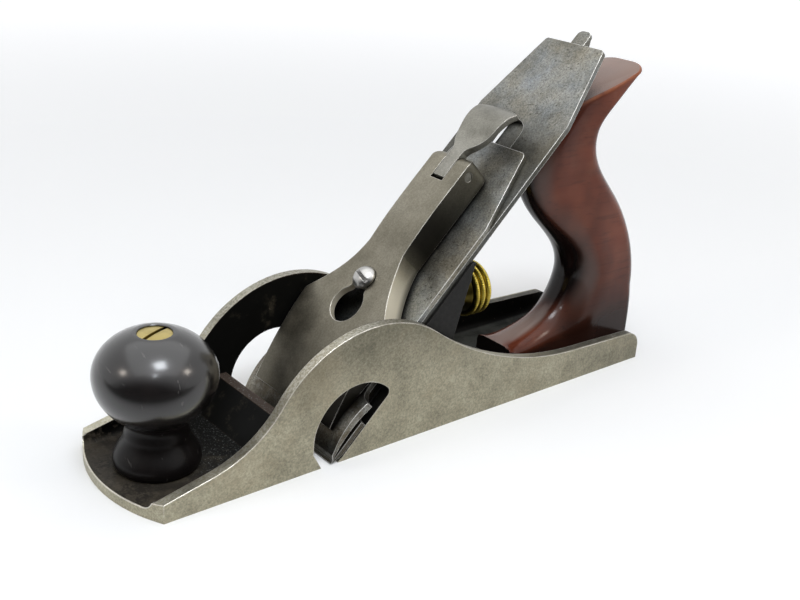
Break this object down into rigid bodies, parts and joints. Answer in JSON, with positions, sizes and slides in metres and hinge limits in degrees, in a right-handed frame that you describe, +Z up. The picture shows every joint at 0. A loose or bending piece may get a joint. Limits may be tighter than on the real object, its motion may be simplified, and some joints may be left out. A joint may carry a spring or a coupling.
{
  "type": "hand plane",
  "caption": "Hand plane with open sides, a full-width cutter on a sloping frog, cam-locked lever cap, knurled depth nut, tilt lever, turned front knob and horned wooden handle",
  "frame": {"origin": "on the sole's underside, on the centre line, 115 mm behind the toe's tip", "axes": "+X to the toe, +Y to the left side, +Z up from the sole"},
  "size_m": [0.2344, 0.054, 0.1275],
  "materials": {
    "worn_iron": "worn bare iron with polished edges, blackened inside",
    "black_iron": "black lacquered iron",
    "cutter_steel": "dull pitted steel",
    "steel": "plain steel",
    "brass": "aged brass",
    "red_wood": "satin red-brown hardwood",
    "dark_wood": "glossy near-black hardwood"
  },
  "bodies": {
    "body": {"body_casting": "worn_iron", "frog_screws": "steel", "frog_washers": "steel", "front_knob": "dark_wood", "knob_stud": "steel", "knob_nut": "brass", "tote": "red_wood", "tote_rod": "steel", "tote_nut": "brass"},
    "frog_unit": {"frog": "black_iron", "lever_cap_screw": "steel", "adjuster_stud": "steel", "yoke_pin": "steel", "lateral_pin": "steel"},
    "depth_nut": {"adjuster_nut": "brass"},
    "yoke": {"adjuster_yoke": "black_iron"},
    "lateral": {"lateral_lever": "cutter_steel", "lateral_disc": "steel", "disc_rivet": "steel"},
    "cutter_screw": {"cap_iron_screw": "steel"},
    "cutter": {"plane_iron": "cutter_steel", "cap_iron": "cutter_steel"},
    "clamp": {"lever_cap": "worn_iron", "cam_pin": "steel", "cap_spring": "steel", "spring_rivet": "steel"},
    "cam": {"cam_lever": "worn_iron"}
  },
  "joints": [
    {"name": "frog_slide", "type": "slide", "parent": "body", "child": "frog_unit", "axis": [1, 0, 0], "range_m": [0, 0.0015]},
    {"name": "depth_nut_turn", "type": "hinge", "parent": "frog_unit", "child": "depth_nut", "pos_m": [-0.031, 0, 0.0362], "axis": [1, 0, 0], "range_deg": [-240, 240]},
    {"name": "yoke_swing", "type": "hinge", "parent": "frog_unit", "child": "yoke", "pos_m": [-0.02109, 0, 0.05045], "axis": [0, 1, 0], "range_deg": [-3, 3]},
    {"name": "cutter_depth", "type": "slide", "parent": "frog_unit", "child": "cutter_screw", "axis": [0.7071, 0, -0.7071], "range_m": [-0.00069, 0.00069]},
    {"name": "lateral_swing", "type": "hinge", "parent": "frog_unit", "child": "lateral", "pos_m": [-0.0254, 0, 0.06877], "axis": [0.7071, 0, 0.7071], "range_deg": [-3.8, 3.8]},
    {"name": "cutter_tilt", "type": "hinge", "parent": "cutter_screw", "child": "cutter", "pos_m": [0.0178, 0, 0.02995], "axis": [0.7071, 0, 0.7071], "range_deg": [-1, 1]},
    {"name": "lever_cap_slide", "type": "slide", "parent": "frog_unit", "child": "clamp", "axis": [-0.7071, 0, 0.7071], "range_m": [0, 0.0106]},
    {"name": "cam_lever_lift", "type": "hinge", "parent": "clamp", "child": "cam", "pos_m": [-0.01968, 0, 0.08298], "axis": [0, 1, 0], "range_deg": [0, 85]}
  ],
  "couplings": [
    {"joint": "yoke_swing", "follows": "cutter_depth", "rad_per_m": 71.429},
    {"joint": "depth_nut_turn", "follows": "cutter_depth", "rad_per_m": 6035.5},
    {"joint": "cutter_tilt", "follows": "lateral_swing", "ratio": -0.26087}
  ]
}
